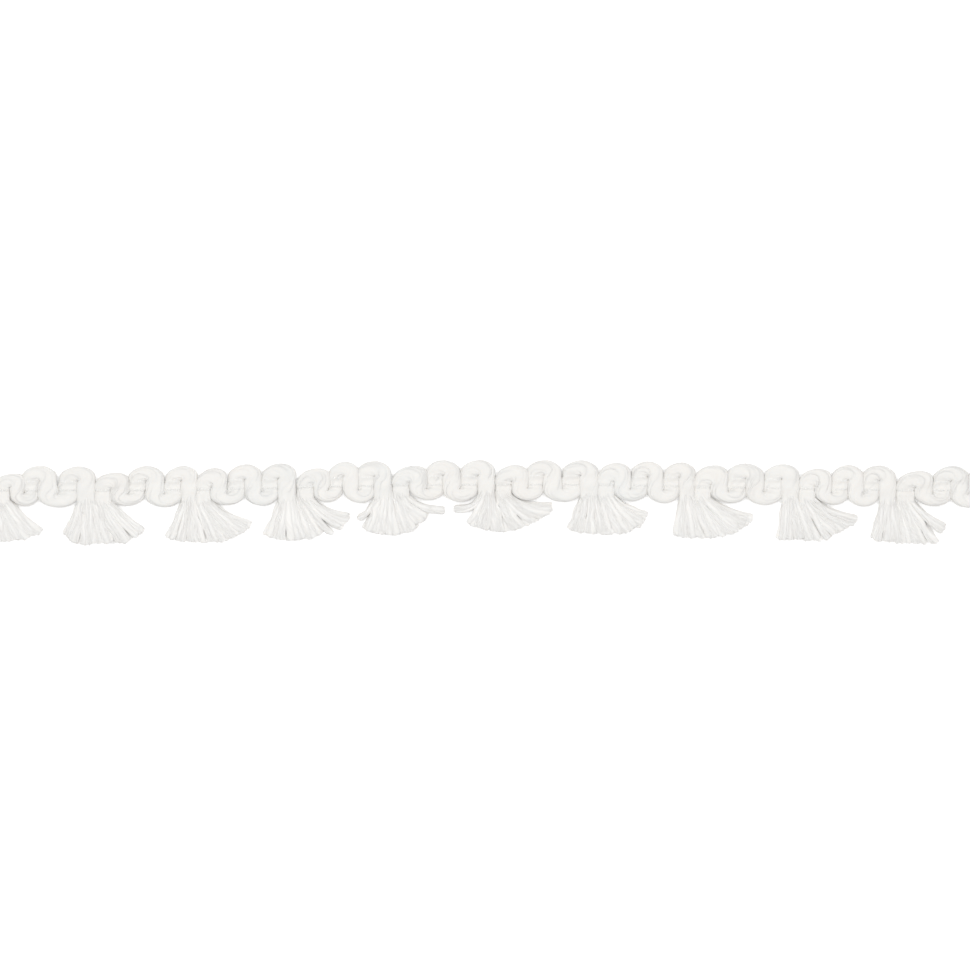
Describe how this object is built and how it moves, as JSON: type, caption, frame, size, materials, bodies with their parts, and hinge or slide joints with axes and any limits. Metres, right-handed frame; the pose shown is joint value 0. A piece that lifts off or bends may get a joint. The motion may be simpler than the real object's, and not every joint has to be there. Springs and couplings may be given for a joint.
{
  "type": "tassel fringe trim",
  "caption": "Straight length of looped yarn trim with cut, fanned tassels along one edge, lying flat on its back.",
  "frame": {"origin": "middle of the trim's outline, on the surface that it lies on", "axes": "+X along the trim, +Y towards the looped edge, away from the tassels, +Z out of its face"},
  "size_m": [0.2636, 0.0212, 0.0035],
  "materials": {
    "soft_yarn": "soft, low-twist off-white cotton yarn with a matt, slightly fuzzy surface",
    "binding_thread": "fine off-white chain-stitch thread, matt"
  },
  "bodies": {
    "root": {"heading_yarn_00": "soft_yarn", "heading_yarn_01": "soft_yarn", "heading_yarn_02": "soft_yarn", "heading_yarn_03": "soft_yarn", "heading_yarn_04": "soft_yarn", "heading_yarn_05": "soft_yarn", "heading_yarn_06": "soft_yarn", "heading_yarn_07": "soft_yarn", "heading_yarn_08": "soft_yarn", "heading_yarn_09": "soft_yarn", "heading_yarn_10": "soft_yarn", "tassel_00": "soft_yarn", "tassel_01": "soft_yarn", "tassel_02": "soft_yarn", "tassel_03": "soft_yarn", "tassel_04": "soft_yarn", "tassel_05": "soft_yarn", "tassel_06": "soft_yarn", "tassel_07": "soft_yarn", "tassel_08": "soft_yarn", "tassel_09": "soft_yarn", "binding_thread_upper": "binding_thread", "binding_thread_lower": "binding_thread"}
  },
  "joints": []
}
